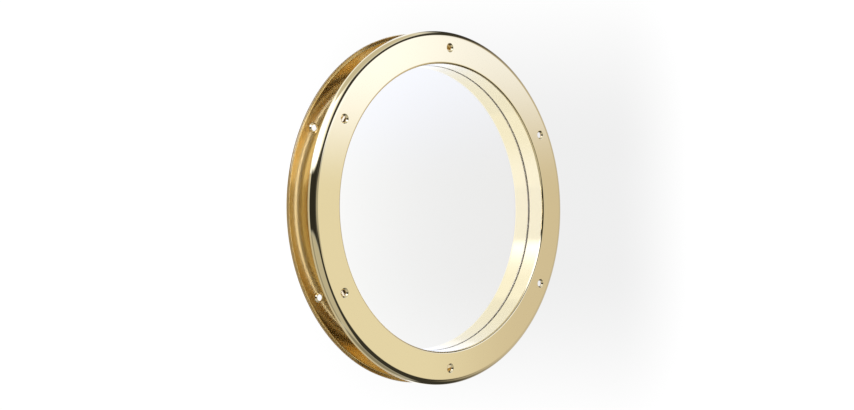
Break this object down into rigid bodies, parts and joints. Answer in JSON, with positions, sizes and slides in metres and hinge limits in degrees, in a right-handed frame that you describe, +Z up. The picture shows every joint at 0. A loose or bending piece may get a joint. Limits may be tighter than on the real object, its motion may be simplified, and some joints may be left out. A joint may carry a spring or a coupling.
{
  "type": "round window",
  "caption": "Round glazed window for a door leaf or partition: two pressed brass rings close on the leaf from both sides and hold a clear pane between their collars.",
  "frame": {"origin": "centre of the pane, in the middle of the leaf that the window is fitted in", "axes": "+Z up, window axis along Y with the front ring facing -Y, +X to the right as seen from the front"},
  "size_m": [0.35, 0.042, 0.35],
  "materials": {
    "polished_brass": "polished to a mirror on the outside, left as rolled on the inside",
    "clear_glass": "clear float glass with ground edges",
    "black_rubber": "matt extruded strip",
    "clear_silicone": "smooth, translucent"
  },
  "bodies": {
    "root": {"front_ring": "polished_brass", "rear_ring": "polished_brass", "glass_pane": "clear_glass", "front_seal": "black_rubber", "rear_seal": "clear_silicone"}
  },
  "joints": []
}
